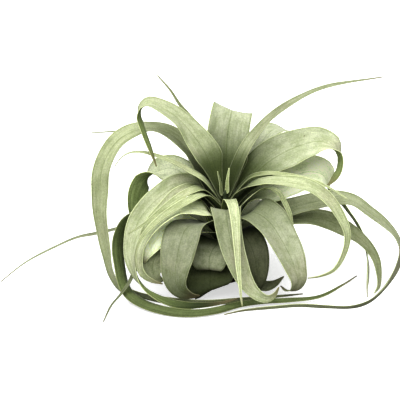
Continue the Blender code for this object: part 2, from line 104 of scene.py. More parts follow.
LEAVES = [
    Leaf("leaf_low_front_dark", 258, 50, 12, 25, [
        (-10, -36, 33, 0), (-14, -49, 28, 0), (-15, -58, 22, 0), (-15, -64, 17, 0),
        (-14, -66, 13.5, 0), (-12, -58, 11.5, 0)]),
    Leaf("leaf_spike_front_left", 205, 10, 1.0, 25, [
        (-40, -18, 40, 0), (-66, -32, 43, 0), (-82, -45, 36, 0), (-90, -55, 26, 0),
        (-95, -63, 18, 0), (-102, -72, 11, 0), (-110, -90, 7, 0), (-116, -118, 2, 0)]),
    Leaf("leaf_far_left_tail", 160, 16, 1.0, 25, [
        (-44, 18, 50, 0), (-78, 24, 55, 0), (-109, 22, 46, 0), (-129, 22, 41, 0),
        (-151, 20, 37, 0), (-177, 14, 27, 0), (-203, 6, 15, 0), (-226, -14, 2, 0)]),
    Leaf("leaf_front_right_dark", 286, 24, 3, 25, [
        (10, -30, 43, 0), (17, -42, 40, 0), (26, -52, 27, 0), (36, -56, 14, 0), (47, -55, 15, 0),
        (57, -54, 23, 0)]),
    Leaf("leaf_back_right_floor", 62, 34, 1.8, 30, [
        (22, 40, 54, 0), (42, 72, 58, 0), (58, 98, 40, 0), (66, 112, 16, 0), (66, 114, 1.6, 0)]),
    Leaf("leaf_dark_left_curl", 222, 37, 5, 30, [
        (-34, -21, 44, -10), (-53, -33, 49, -28), (-64, -45, 47, -40), (-70, -54, 40, -45),
        (-71, -60, 32, -42), (-68, -64, 25, -30), (-60, -63, 22, -15)]),
    Leaf("leaf_back_left_floor", 128, 34, 1.8, 30, [
        (-28, 36, 58, 0), (-54, 66, 62, 0), (-76, 90, 44, 0), (-88, 104, 18, 0),
        (-90, 106, 1.6, 0)]),
    Leaf("leaf_right_under_loop", -3, 34, 1.3, 25, [
        (42, 2, 56, 0), (68, 2, 63, 16), (87, 3, 64, 32), (104, 3, 61, 50), (121, 2, 53, 54),
        (134, 0, 45, 47), (145, -4, 35, 45), (152, -10, 24, 40), (154, -18, 14, 34),
        (153, -32, 5, 28), (147, -48, 3, 25)]),
    Leaf("leaf_inner_front_low", 262, 46.5, 8, 25, [
        (-4, -30, 52, 0), (-9, -43, 51.5, 0), (-15, -54, 45, 0), (-16, -60, 38, 0),
        (-16, -60.5, 33, 0), (-13, -54, 30.5, 0)]),
    Leaf("leaf_left_floor_sweep", 190, 20, 0.9, 25, [
        (-36, -6, 55, 0), (-62, -7, 67, 20), (-84, -8, 71, 45), (-98, -13, 65, 65),
        (-105, -18, 51, 75), (-106, -25, 39, 78), (-104, -35, 27, 82), (-101, -48, 17, 88),
        (-96, -62, 11, 98), (-88, -75, 8, 115), (-73, -89, 5.8, 125), (-52, -100, 4.8, 131),
        (-32, -103, 4.6, 131), (-10, -96.5, 4.6, 131), (14, -80.5, 4.6, 131), (38, -73, 4.6, 131),
        (62, -70, 4.6, 131), (90, -62, 4.6, 125), (117, -30, 4.6, 110), (134, -2, 3.6, 100)]),
    Leaf("leaf_right_big_loop", 12, 28, 1, 25, [
        (40, 9, 65, 15), (62, 3.5, 73, 26), (86, 0, 81, 27), (112, -6, 87, 16), (128, -12, 86, 5),
        (142, -17, 77, -2), (156, -21, 67, -7), (168, -25, 55, -13), (173, -30, 43, -18),
        (170, -38, 30, -23), (161, -50, 18, -30), (149, -66, 10, -40), (135, -80, 6, -52),
        (117, -91, 6, -56), (98, -90, 6, -54), (72, -86, 5.6, -48), (48, -90, 5.4, -36),
        (16, -98, 5, -24), (-2, -106, 4, -20)]),
    Leaf("leaf_back_floor", 97, 36, 1.8, 30, [
        (-6, 42, 68, 0), (-12, 76, 74, 0), (-18, 104, 54, 0), (-20, 120, 26, 0),
        (-18, 122, 2, 0)]),
    Leaf("leaf_inner_front_right", 292, 34, 4, 30, [
        (11, -30, 62, 0), (20, -46, 60, 10), (27, -59, 49, 20), (30, -67, 34, 25),
        (30, -69, 20, 25), (27, -62, 9, 20)]),
    Leaf("leaf_pale_left_inner", 212, 36, 3, 30, [
        (-26, -15, 60, -10), (-42, -25, 66.5, -28), (-54, -35, 68.5, -38), (-64, -44.5, 64, -42),
        (-71, -52, 55.5, -42), (-76, -57, 47, -38), (-79, -60, 39, -30)]),
    Leaf("leaf_left_thread", 138, 12, 1.0, 25, [
        (-25, 26, 90, 0), (-38, 45, 120, 0), (-54, 57, 136, 0), (-78, 61, 141, 0),
        (-104, 61, 139, 0), (-137, 60, 137, 0)]),
    Leaf("leaf_front_left_fall", 248, 43, 3.2, 26, [
        (-11, -24, 66, 0), (-27, -37, 71.5, -6), (-38, -49, 71, -15), (-44, -62, 61, -28),
        (-47, -70, 48, -35), (-49, -77, 36, -35), (-48, -80, 26, -32), (-43, -81, 18, -25),
        (-33, -81, 13.5, -10), (-25, -81, 13.5, 0)]),
    Leaf("leaf_upper_left_thread", 112, 12, 1.0, 25, [
        (-11, 33, 90, 0), (-17, 39, 124, 0), (-27, 42, 148, 0), (-37, 43, 161, 0),
        (-46, 44, 172, 0), (-55, 45, 186, 0), (-68, 46, 201, 0)]),
    Leaf("leaf_left_grey_face", 157, 34, 2.2, 30, [
        (-22, 13, 84, -15), (-37, 21, 101, -32), (-54, 24, 110, -42), (-66, 22, 108, -35),
        (-74, 20, 105, 20), (-82, 15, 98, 85), (-87, 11, 88, 103), (-89, 8, 74, 113),
        (-87, 7, 58, 105), (-80, 8, 40, 90), (-72, 10, 26, 90)]),
    Leaf("leaf_front_right_fall", 312, 46, 2.6, 35, [
        (17, -20, 72, 0), (29, -30, 80.5, 18), (43, -40, 74, 22), (54, -51, 60, 20),
        (62, -60, 47, 20), (67, -66, 35, 20), (70, -69, 24, 20), (67, -67, 15, 20),
        (60, -61, 11, 20), (54, -54, 13, 20)]),
    Leaf("leaf_left_front_band", 222, 26, 1.8, 30, [
        (-18, -20, 79, -22), (-27, -26, 83, -30), (-38, -31, 85, -24), (-49, -37, 84.2, -14),
        (-60, -45, 79, -9), (-70, -52, 72, -5), (-77, -57, 64, -2), (-82, -62, 54.5, 0),
        (-83, -66, 45, -4), (-82, -70, 36, -15), (-78, -73, 30, -35), (-70, -75, 26, -45),
        (-61, -77, 24, -45)]),
    Leaf("leaf_right_behind_curl", 16, 44, 2, 16, [
        (23, 10, 82, 5), (41, 20, 88.5, 38), (64, 32.5, 96.5, 57), (87, 41, 101, 57),
        (101, 42, 97, 48), (107, 39, 83, 4), (124, 33, 64, -2), (137, 22, 47, -4),
        (145, 8, 23, -3), (144, -10, 10, 0), (141, -36, 5, 0), (139, -58, 3.2, 0)]),
    Leaf("leaf_front_fall", 272, 33, 2, 60, [
        (1, -24, 81, 0), (0.5, -35, 83.5, 0), (1.5, -46, 77, 0), (3.5, -56, 66, 0),
        (7, -65, 53, 0), (12, -74, 41, 0), (17, -81, 31, 0), (24, -87, 22, 0), (32, -90, 16, 0),
        (40, -88, 13, 0), (47, -84, 16, 0), (51, -80, 22, 0)]),
    Leaf("leaf_left_outer_arc", 174, 30, 1.3, 30, [
        (-24, 4, 90, -20), (-36, 3, 98, -30), (-49, -1, 98, -30), (-63, -9, 91.5, -30),
        (-76, -20, 82, -35), (-86, -31, 71, -30), (-91, -42, 57, -5), (-92, -52, 44, 15),
        (-89.2, -62, 34, 35), (-84, -71, 25.5, 60), (-75, -79, 18.3, 90), (-59, -87, 11.4, 125),
        (-43, -92, 8.4, 150), (-23, -91.5, 8, 150), (-4, -88, 9, 150), (12, -82, 11, 150)]),
    Leaf("leaf_back_right_crest", 54, 36, 1.8, 30, [
        (15, 21, 90, 0), (33, 48, 122, 0), (50, 64, 139, 0), (70, 84, 130, 0), (86, 104, 98, 0),
        (91, 112, 70, 0)]),
    Leaf("leaf_right_strip", -14, 18, 1, 25, [
        (25, -11, 91, 0), (38, -7, 98, 0), (52, -8, 95, 35), (59, -12, 85, 48), (64, -14, 74, 60),
        (67, -14, 61, 70), (68, -13, 49, 70)]),
    Leaf("leaf_front_narrow", 280, 15, 1.1, 45, [
        (4, -24, 92, 0), (7, -39, 89.5, 0), (9, -54, 79.5, 0), (10, -66, 66, 0),
        (11, -77, 51.5, 0), (12, -87, 39, 0), (13, -95, 29, 0), (14, -102, 20, 0),
        (15, -109, 14, 0)]),
    Leaf("leaf_left_second_arc", 186, 22, 1.2, 30, [
        (-25, -3, 94, -12), (-36, -8, 97, -26), (-49, -14, 93.8, -29), (-61, -23, 85, -30),
        (-73, -33, 76, -35), (-81, -43.5, 66.5, -40), (-84.5, -53, 57, -40)]),
    Leaf("leaf_right_wide_curl", 22, 45, 3, 30, [
        (23, 10, 98, 15), (40, 21, 114, 27), (60, 32, 124, 45), (79, 40, 130, 45),
        (95, 42, 133, 45), (108, 38, 130, 20), (115, 31, 120, -45), (115, 24, 110, -59),
        (110, 18, 101, -85), (102, 14, 93, -85)]),
    Leaf("leaf_far_left_loop", 140, 30, 1, 25, [
        (-20, 17, 102, 6), (-36, 30, 126, 5), (-57, 38, 143, 5), (-76, 38, 148, 11),
        (-92, 33, 146, 4), (-108, 25, 138, 0), (-118, 18, 125, -10), (-124, 12, 109, -15),
        (-125, 6, 92, -22), (-125, 0, 73, -9), (-122, -8, 54, 6), (-118, -17, 35, 13),
        (-113, -28, 16.6, 25), (-103, -42, 6.8, 45), (-89, -53, 5.6, 55), (-72, -66, 5.6, 50),
        (-48, -75, 5.4, 40), (-20, -78, 5, 30), (20, -68, 4.6, 20), (76, -54, 4.6, 0)]),
    Leaf("leaf_left_lower_ribbon", 216, 14.5, 1, 35, [
        (-20, -16.5, 95, 0), (-35, -32, 94, -8), (-49, -43.5, 90, -18), (-61, -51, 84, -18),
        (-73, -60, 75.5, -14), (-82, -67, 66, -4), (-86, -72, 57, 10), (-87, -77, 48, 20),
        (-85, -81, 40, 20), (-81, -85, 34, 20)]),
    Leaf("leaf_back_centre", 88, 46, 2.6, 22, [
        (1, 25, 112, 5), (2, 33, 134, 6), (4, 37, 151, 8), (7, 45, 163, 8), (8, 58, 161, 6),
        (9, 79, 144, 0), (11, 98, 110, 0), (12, 106, 70, 0), (12, 100, 35, 0)]),
    Leaf("leaf_left_upper_ribbon", 202, 15.8, 1, 35, [
        (-23, -10, 99, 0), (-35, -19, 99, -9), (-49, -30, 94, -20), (-64, -42, 86, -22),
        (-79, -53, 77, -18), (-94, -61, 70, -15)]),
    Leaf("leaf_right_inner_loop", -22, 25, 1.1, 45, [
        (23, -10, 101, 0), (38, -15, 106, 8), (60, -22, 109, 22), (81, -27, 107, 36),
        (96, -31, 99, 47), (109, -34, 84, 47), (119, -37, 62, 42), (117, -39, 43, 50),
        (107, -43, 26, 50), (93, -48, 21, 40), (81, -51, 20, 30)]),
    Leaf("leaf_left_rising", 178, 19, 1, 40, [
        (-22, -5, 107, 0), (-36, -2, 115, -8), (-56, 2, 124.5, -12), (-72, 5, 129.5, -12),
        (-84, 6, 132, -10), (-96, 6, 131, -5), (-104, 5, 126, 0), (-110, 4, 118, 0)]),
    Leaf("leaf_right_narrow", 5, 10, 1.0, 40, [
        (24, 1, 107, 0), (38, 1, 111, 10), (64, 0, 110, 20), (90, -6, 105, 30),
        (105, -14, 100, 30), (121, -24, 92, 30)]),
    Leaf("leaf_upper_left_arch", 140, 36, 1.6, 35, [
        (-19, 14, 127, -18), (-30, 19, 143, -16), (-45, 24, 160, 0), (-62, 29, 171, 4),
        (-77, 31, 176, 4), (-84, 29, 171, 25), (-84, 23, 161, 75), (-80, 13, 150, 85),
        (-74, 2, 136, 95), (-68, -10, 122, 95)]),
    Leaf("leaf_upper_right_sweep", 42, 19, 1.2, 45, [
        (19, 12, 131, 0), (34, 23, 150, 0), (51, 34, 164, 0),
        (77, 46, 178, 0), (103, 54, 187, 0), (161, 60, 196, 0)]),
    Leaf("leaf_heart_left", 150, 6, 1.4, 40, [
        (-5, 2.5, 101, 0), (-7.5, 3, 113, 0)]),
    Leaf("leaf_heart_tip", 60, 5.5, 1.4, 30, [
        (2.5, 3.5, 103, 0), (4, 4, 116, 0)]),
]

# How bright a leaf is painted at its root and at its tip, 1 for a common one, and how young it
# is, from 0 for silver grey to 1 for yellow green. The brightness is partly the leaf's own tone and
# partly painted light and shade. Leaves that lie in shade, such as the dark ones, are painted
# darker, leaves that the lamp leaves too dark, such as the pale left inner one, are painted
# lighter, and some tips carry a painted highlight
LOOKS = {
    "leaf_low_front_dark": (0.5, 0.5, 0.7), "leaf_spike_front_left": (0.35, 0.35, 0.5),
    "leaf_far_left_tail": (0.6, 0.6, 0.4), "leaf_front_right_dark": (0.35, 0.35, 0.5),
    "leaf_dark_left_curl": (0.68, 0.68, 0.5), "leaf_right_under_loop": (0.82, 0.8, 0.6),
    "leaf_inner_front_low": (0.66, 0.66, 0.25), "leaf_left_floor_sweep": (0.74, 1.0, 0.1),
    "leaf_right_big_loop": (0.72, 1.05, 0.35), "leaf_inner_front_right": (0.15, 0.18, 0.9),
    "leaf_pale_left_inner": (3.4, 3.4, 0.0), "leaf_left_thread": (0.6, 0.6, 0.5),
    "leaf_front_left_fall": (0.5, 0.9, 0.2), "leaf_upper_left_thread": (0.75, 0.75, 0.5),
    "leaf_left_grey_face": (1.9, 1.0, 0.0), "leaf_front_right_fall": (0.82, 1.05, 0.15),
    "leaf_left_front_band": (1.85, 0.8, 0.3), "leaf_right_behind_curl": (2.5, 1.5, 0.0),
    "leaf_front_fall": (0.62, 1.15, 0.3), "leaf_left_outer_arc": (1.05, 0.95, 0.3),
    "leaf_back_right_crest": (1.3, 1.3, 0.0), "leaf_right_strip": (1.6, 1.6, 0.6),
    "leaf_front_narrow": (1.2, 1.2, 0.4), "leaf_left_second_arc": (1.0, 1.0, 0.4),
    "leaf_right_wide_curl": (1.15, 1.5, 0.15), "leaf_far_left_loop": (0.95, 0.4, 0.5),
    "leaf_left_lower_ribbon": (1.12, 0.6, 0.6), "leaf_back_centre": (1.08, 1.08, 0.1),
    "leaf_left_upper_ribbon": (1.12, 0.7, 0.6), "leaf_right_inner_loop": (0.95, 1.8, 0.45),
    "leaf_left_rising": (1.05, 0.9, 0.6), "leaf_right_narrow": (0.95, 0.95, 0.7),
    "leaf_upper_left_arch": (0.98, 1.15, 0.35), "leaf_upper_right_sweep": (0.72, 0.72, 0.4),
    "leaf_heart_left": (0.8, 0.8, 0.7), "leaf_heart_tip": (1.2, 1.2, 0.9),
}
COMMON_LOOK = (0.8, 0.8, 0.15)

# The heart, the hollow under the front leaves and the floor below them lie in the shade of the
# leaves above, and this shade is painted on the blades as a darker, deeper green. Each has its
# place, and the distances at which its painted shade is full and ends, in millimetres
HEART_PLACE = (0.0, 12.0, 104.0)
HEART_SHADE = (14.0, 58.0)
HOLLOW_PLACE = (0.0, -22.0, 52.0)
HOLLOW_SHADE = (10.0, 36.0)
FLOOR_PLACE = (-15.0, -80.0, 6.0)
FLOOR_SHADE = (5.0, 72.0)

# Leaves on which the shade of the heart ends further out or nearer in
SHADE_REACH = {
    "leaf_right_wide_curl": 86.0, "leaf_front_right_fall": 106.0, "leaf_upper_left_arch": 52.0,
    "leaf_left_front_band": 42.0, "leaf_back_centre": 60.0, "leaf_upper_right_sweep": 48.0,
    "leaf_left_outer_arc": 50.0, "leaf_front_left_fall": 96.0, "leaf_left_rising": 32.0,
    "leaf_right_under_loop": 110.0}

# Leaves that the shade of the floor reaches
LOW_NAMES = ("leaf_left_outer_arc", "leaf_low_front_dark", "leaf_front_left_fall")

# Share of the shade that falls on the leaves of the heart, which stand up into the light
HEART_LEAF_SHADE = 0.3

# The first leaves of the list are the old ones, and the rest are grown but for these
YOUNG_NAMES = ("leaf_left_lower_ribbon", "leaf_left_upper_ribbon", "leaf_right_inner_loop",
               "leaf_left_rising", "leaf_right_narrow", "leaf_upper_right_sweep")
HEART_NAMES = ("leaf_heart_left", "leaf_heart_tip")
OLD_COUNT = 15

# Skin pattern: veins and patches lie on the map of the blade, the rest on the plant in metres
EDGE_SCALE = 10.0
VEIN_STRETCH = (42.0, 5.0, 1.0)
PATCH_STRETCH = (5.0, 14.0, 1.0)
SPECK_SCALE = 120.0
PATCH_PART = 0.65
BLOTCH_PART = 0.35
FINE_RELIEF = 0.35

# Noises of the skin: scale, detail and roughness
VEIN_NOISE = (1.0, 3.0, 0.5)
PATCH_NOISE = (1.0, 4.0, 0.6)
BLOTCH_NOISE = (60.0, 5.0, 0.65)
CLOUD_NOISE = (17.0, 2.0, 0.5)
FINE_NOISE = (700.0, 3.0, 0.7)

# Ranges of the skin: a low and a high value, and what they give where that isn't 0 and 1. The
# ones for the painted shade beside the rim and the painted rim highlight are counted in widths of
# the bright rim
BLUSH_RANGE = (0.5, 0.72, 0.0, 0.4)
WORN_RANGE = (0.42, 0.62)
VEIN_RANGE = (0.3, 0.7, -0.1, 0.08)
FINE_RANGE = (0.32, 0.68, 0.84, 1.13)
# The next two ranges are the painted shade: how much darker and how much greener a shaded blade is
SHADE_DARKENING_RANGE = (0.1, 1.0, 1.0, 0.4)
DEEP_RANGE = (0.15, 0.95, 0.0, 0.9)
RIB_RANGE = (0.0, 0.025, 0.45, 0.0)
RIM_SHADE_START = (0.8, 1.4)
RIM_SHADE_END = (1.4, 3.4, 0.4, 0.0)
RIM_RANGE = (0.35, 1.1, 1.0, 0.0)
SPECK_RANGE = (0.06, 0.13, 0.75, 0.0)
SPECKLED_RANGE = (0.56, 0.6)
DRY_RANGE = (0.86, 1.0, 0.0, 0.8)
GROWN_RANGE = (0.3, 0.6, 1.0, 0.0)
ROUGHNESS_RANGE = (0.3, 0.7, 0.52, 0.66)

# Finish of the leaves
MOTTLING = 0.4
UPPER_VEINING = 1.0
UNDER_VEINING = 4.0
SHEEN_ROUGHNESS = 0.5
GLOW_RADIUS = (1.0, 1.2, 0.5)

# Bark of the stem, which turns green towards the heart
BARK_STRETCH = (1.0, 1.0, 0.15)
BARK_NOISE = (420.0, 4.0, 0.5)
BARK_RANGE = (0.4, 0.62)
GREEN_HEIGHTS = (0.045, 0.07)
BARK_RELIEF = 0.0006
BARK_ROUGHNESS = 0.85

# Stage
SENSOR_WIDTH = 36.0
PAPER_ROUGHNESS = 0.9
PAPER_SHINE = 0.1

# Places of the colour sockets on a Mix node
MIX_FACTOR = 0
MIX_FIRST = 6
MIX_SECOND = 7
MIX_RESULT = 2

# Colours that the skin takes, in the order of its sockets
SKIN_COLOURS = ("Silver", "Young", "Flesh", "Rim", "Dry", "Blush")

Blade = namedtuple("Blade", "sheet across edge share youth light depth seed place")
Pattern = namedtuple("Pattern", "veins patches blotches clouds scales")


def ring_of(share):
    """Radius and height of the ring that a leaf base hugs, for its share of the list."""
    radius = LOWEST_RING[0] + share * (HIGHEST_RING[0] - LOWEST_RING[0])
    height = LOWEST_RING[1] + share * (HIGHEST_RING[1] - LOWEST_RING[1])
    return radius, height


def seat_of(share):
    """Radius and height of the stem where the leaf of that ring is rooted."""
    radius, height = ring_of(share)
    seat = radius * STEM_SHARE
    return seat, height - (radius - seat) * tan(BASE_SLOPE)


def route_of(leaf, order):
    """All the stops of a leaf: its root on the stem, its ring, then those of its own route."""
    share = order / (len(LEAVES) - 1)
    ring, ring_height = ring_of(share)
    seat, seat_height = seat_of(share)
    outward = np.array([cos(radians(leaf.turn)), sin(radians(leaf.turn)), 0.0])
    upward = np.array([0.0, 0.0, 1.0])
    root = outward * (seat + SEAT_GAP) + upward * seat_height
    hug = outward * (ring + SEAT_GAP) + upward * ring_height
    stops = np.array([stop[:3] for stop in leaf.route], float)
    rolls = np.array([0.0, 0.0] + [stop[3] for stop in leaf.route])
    return np.vstack([root, hug, stops]), np.radians(rolls)


def blend(first, last, start, stop, place):
    """The point between two points, for a place between their knots."""
    share = (place - start) / (stop - start)
    return first * (1 - share) + last * share


def smooth_curve(stops, row_length):
    """Even points on a centripetal Catmull-Rom curve through the stops, and their places."""
    ends = np.vstack([2 * stops[0] - stops[1], stops, 2 * stops[-1] - stops[-2]])
    points = []
    places = []
    for i in range(len(stops) - 1):
        a, b, c, d = ends[i:i + 4]
        gaps = np.sqrt(np.linalg.norm(np.diff(ends[i:i + 4], axis=0), axis=1))
        t0, t1, t2, t3 = np.concatenate([[0.0], np.cumsum(gaps)])
        for t in np.linspace(t1, t2, CURVE_STEPS, endpoint=False):
            middle = blend(b, c, t1, t2, t)
            left = blend(blend(a, b, t0, t1, t), middle, t0, t2, t)
            right = blend(middle, blend(c, d, t2, t3, t), t1, t3, t)
            points.append(blend(left, right, t1, t2, t))
            places.append(i + (t - t1) / (t2 - t1))
    points.append(stops[-1])
    places.append(len(stops) - 1)
    points = np.array(points)
    steps = np.linalg.norm(np.diff(points, axis=0), axis=1)
    reach = np.concatenate([[0.0], np.cumsum(steps)])
    rows = max(LEAST_ROWS, int(round(reach[-1] / row_length)))
    even = np.linspace(0.0, reach[-1], rows + 1)
    curve = np.stack([np.interp(even, reach, points[:, axis]) for axis in range(3)], axis=1)
    return curve, np.interp(even, reach, places), even


def carried_frames(curve, side):
    """Tangents of the curve, and the side direction carried along it without spin."""
    along = np.gradient(curve, axis=0)
    along /= np.linalg.norm(along, axis=1)[:, None]
    across = np.empty_like(along)
    across[0] = side - (side @ along[0]) * along[0]
    across[0] /= np.linalg.norm(across[0])
    for i in range(len(curve) - 1):
        step = curve[i + 1] - curve[i]
        carried = across[i] - 2 * (step @ across[i]) / (step @ step) * step
        turned = along[i] - 2 * (step @ along[i]) / (step @ step) * step
        bend = along[i + 1] - turned
        if bend @ bend > STRAIGHT:
            carried = carried - 2 * (bend @ carried) / (bend @ bend) * bend
        across[i + 1] = carried - (carried @ along[i + 1]) * along[i + 1]
        across[i + 1] /= np.linalg.norm(across[i + 1])
    return along, across


def nearness(curve, centre, reach):
    """How close each point of a curve is to a centre, from 0 at the far reach to 1 at the near."""
    distance = np.linalg.norm(curve - np.array(centre), axis=1)
    return np.clip((reach[1] - distance) / (reach[1] - reach[0]), 0, 1)


def end_mesh(shape, name):
    """A mesh with the faces of a finished shape."""
    mesh = bpy.data.meshes.new(name)
    shape.to_mesh(mesh)
    shape.free()
    return mesh


def blade_frames(leaf, order, form):
    """Middle line of the blade, its length so far, and its along, across and upper directions."""
    stops, rolls = route_of(leaf, order)
    curve, places, reach = smooth_curve(stops, form.row_length / MM)
    side = np.array([sin(radians(leaf.turn)), -cos(radians(leaf.turn)), 0.0])
    along, across = carried_frames(curve, side)
    roll = np.interp(places, np.arange(len(rolls)), rolls)[:, None]
    lower = np.cross(along, across)
    across = across * np.cos(roll) + lower * np.sin(roll)
    upper = np.cross(across, along)
    return curve, reach, along, across, upper


def blade_section(leaf, form, curve, along, share):
    """Width and channel of each row, and how free it is of the funnel of the leaf bases."""
    tip = form.tip_width / MM
    axis_distance = np.hypot(curve[:, 0], curve[:, 1])
    width = tip + (leaf.width - tip) * (1 - share ** leaf.fullness)
    flare = 1 + (axis_distance / FLARE_REACH) ** 2
    width = np.minimum(width, BASE_SPREAD * axis_distance * flare)
    free = np.clip((axis_distance - FUNNEL_REACH[0]) / (FUNNEL_REACH[1] - FUNNEL_REACH[0]), 0, 1)
    leaning = np.clip(along[:, 2], 0, 1)
    funnel = leaning * width / 2 / axis_distance
    channel = radians(leaf.cup) * (1 - (1 - TIP_CUP) * share)
    bend = funnel * (1 - free) + channel * free + LEAST_BEND
    return width, bend, free


def blade_shade(leaf, curve):
    """How deep each row lies in the shade of the leaves above, from 0 to 1."""
    heart_shade = (HEART_SHADE[0], SHADE_REACH.get(leaf.name, HEART_SHADE[1]))
    shade = np.maximum(nearness(curve, HEART_PLACE, heart_shade),
                       nearness(curve, HOLLOW_PLACE, HOLLOW_SHADE))
    if leaf.name in LOW_NAMES:
        shade = np.maximum(shade, nearness(curve, FLOOR_PLACE, FLOOR_SHADE))
    if leaf.name in HEART_NAMES:
        shade *= HEART_LEAF_SHADE
    return shade


def lay_blade(leaf, order, form):
    """A fine channelled blade along the leaf's route, with its midrib, soft waves and thin rims."""
    curve, reach, along, across, upper = blade_frames(leaf, order, form)
    share = np.linspace(0.0, 1.0, len(curve))
    width, bend, free = blade_section(leaf, form, curve, along, share)
    near_light, far_light, youth = LOOKS.get(leaf.name, COMMON_LOOK)
    # Painted light and shade along the blade, from the brightness at its root to that at its tip
    light = near_light + (far_light - near_light) * share ** 2
    shade = blade_shade(leaf, curve)
    phase = order * GOLDEN_TURN

    columns = max(form.least_columns, 2 * round(leaf.width * MM / form.column_width / 2))
    blade = bmesh.new()
    bmesh.ops.create_grid(blade, x_segments=len(curve) - 1, y_segments=columns,
                          size=GRID_HALF)
    sheet = blade.loops.layers.uv.new("blade")
    detail = blade.verts.layers.float_color.new("leaf detail")
    depth = blade.verts.layers.float.new("shade")
    seed = blade.verts.layers.float.new("seed")
    weights = blade.verts.layers.deform.verify()
    for face in blade.faces:
        for loop in face.loops:
            loop[sheet].uv = (loop.vert.co.y + GRID_HALF, loop.vert.co.x + GRID_HALF)
    for vert in blade.verts:
        row = int(round((vert.co.x + GRID_HALF) * (len(curve) - 1)))
        place = 2 * vert.co.y
        half = width[row] / 2
        angle = bend[row] * place
        radius = half / bend[row]
        broad = min(1.0, half / WAVE_HALF)
        wave = form.wave / MM * abs(place) ** 3 * free[row] * broad
        wave *= sin(reach[row] / WAVE_LENGTH + phase + (pi if place < 0 else 0.0))
        crease = form.crease / MM * np.exp(-(place * half / CREASE_HALF) ** 2) * broad
        spot = (curve[row] + across[row] * radius * sin(angle)
                + upper[row] * (radius * (1 - cos(angle)) + wave - crease))
        edge = (1 - abs(place)) * half
        # The alpha carries the painted light and shade of the row
        vert[detail] = (edge / EDGE_SCALE, share[row], youth, light[row])
        vert[depth] = shade[row]
        vert[seed] = phase
        vert[weights][0] = 1.0 - abs(place) ** 2
        vert.co = spot * MM
    mesh = end_mesh(blade, leaf.name + "_blade")
    mesh.shade_smooth()
    return mesh


def add_node(tree, kind, label, place, **values):
    """Add a shader node with a label and a place, and set its plain settings."""
    node = tree.nodes.new(kind)
    node.label = label
    node.location = place
    for key, value in values.items():
        setattr(node, key, value)
    return node


def feed(tree, socket, value):
    """Link a socket to an output, or set it to a plain value."""
    if hasattr(value, "is_output"):
        tree.links.new(value, socket)
    else:
        socket.default_value = value


def add_math(tree, operation, place, first, second):
    """Add a math node fed by sockets or numbers, and return its output."""
    node = add_node(tree, "ShaderNodeMath", operation.lower(), place, operation=operation)
    feed(tree, node.inputs[0], first)
    feed(tree, node.inputs[1], second)
    return node.outputs[0]


def add_ramp(tree, place, value, low, high, low_out=0.0, high_out=1.0):
    """Map a value smoothly from one range to another, and return the output."""
    node = add_node(tree, "ShaderNodeMapRange", "range", place, interpolation_type="SMOOTHSTEP")
    tree.links.new(value, node.inputs["Value"])
    node.inputs["From Min"].default_value = low
    node.inputs["From Max"].default_value = high
    node.inputs["To Min"].default_value = low_out
    node.inputs["To Max"].default_value = high_out
    return node.outputs["Result"]


def add_mix(tree, place, factor, first, second, mode="MIX"):
    """Mix two colours by a factor, and return the colour output."""
    node = add_node(tree, "ShaderNodeMix", mode.lower(), place, data_type="RGBA", blend_type=mode)
    feed(tree, node.inputs[MIX_FACTOR], factor)
    feed(tree, node.inputs[MIX_FIRST], first)
    feed(tree, node.inputs[MIX_SECOND], second)
    return node.outputs[MIX_RESULT]


def add_noise(tree, place, vector, noise, seed=None):
    """Add a noise texture on the given coordinates, and return its value."""
    node = add_node(tree, "ShaderNodeTexNoise", "noise", place)
    tree.links.new(vector, node.inputs["Vector"])
    if seed:
        node.noise_dimensions = "4D"
        tree.links.new(seed, node.inputs["W"])
    for name, value in zip(("Scale", "Detail", "Roughness"), noise):
        node.inputs[name].default_value = value
    return node.outputs[0]


def add_stretch(tree, label, place, vector, scale):
    """Stretch coordinates by a scale of its own for each axis, and return them."""
    node = add_node(tree, "ShaderNodeMapping", label, place)
    node.inputs["Scale"].default_value = scale
    tree.links.new(vector, node.inputs["Vector"])
    return node.outputs[0]


def begin_material(name):
    """A new material, with its node tree and its Principled shader."""
    material = bpy.data.materials.new(name)
    material.use_nodes = True
    tree = material.node_tree
    return material, tree, tree.nodes["Principled BSDF"]


def add_skin_sockets(face):
    """Colours and strengths that the skin group takes, and what it gives."""
    for name in SKIN_COLOURS:
        face.new_socket(name, in_out="INPUT", socket_type="NodeSocketColor")
    for name in ("Mottling", "Veining", "Rim Width"):
        face.new_socket(name, in_out="INPUT", socket_type="NodeSocketFloat")
    face.new_socket("Color", in_out="OUTPUT", socket_type="NodeSocketColor")
    face.new_socket("Roughness", in_out="OUTPUT", socket_type="NodeSocketFloat")
    face.new_socket("Height", in_out="OUTPUT", socket_type="NodeSocketFloat")


def read_painted(tree, name, place):
    """Read what is painted on the blade under a name."""
    return add_node(tree, "ShaderNodeAttribute", name, place, attribute_name=name).outputs


def read_blade(tree):
    """Read the map, the place and the painted values of the blade."""
    sheet = add_node(tree, "ShaderNodeUVMap", "along the blade", (-1400, -300), uv_map="blade")
    spread = add_node(tree, "ShaderNodeSeparateXYZ", "across and along", (-1200, -300))
    tree.links.new(sheet.outputs["UV"], spread.inputs[0])
    detail = read_painted(tree, "leaf detail", (-1400, -500))
    parts = add_node(tree, "ShaderNodeSeparateColor", "edge, share, youth", (-1200, -500))
    tree.links.new(detail["Color"], parts.inputs[0])
    depth = read_painted(tree, "shade", (-1400, -600))
    seed = read_painted(tree, "seed", (-1400, -1900))
    place = add_node(tree, "ShaderNodeTexCoord", "place", (-1400, -700))
    edge = add_math(tree, "MULTIPLY", (-1000, -150), parts.outputs[0], EDGE_SCALE)
    return Blade(sheet.outputs["UV"], spread.outputs[0], edge, parts.outputs[1],
                 parts.outputs[2], detail["Alpha"], depth["Fac"], seed["Fac"],
                 place.outputs["Object"])


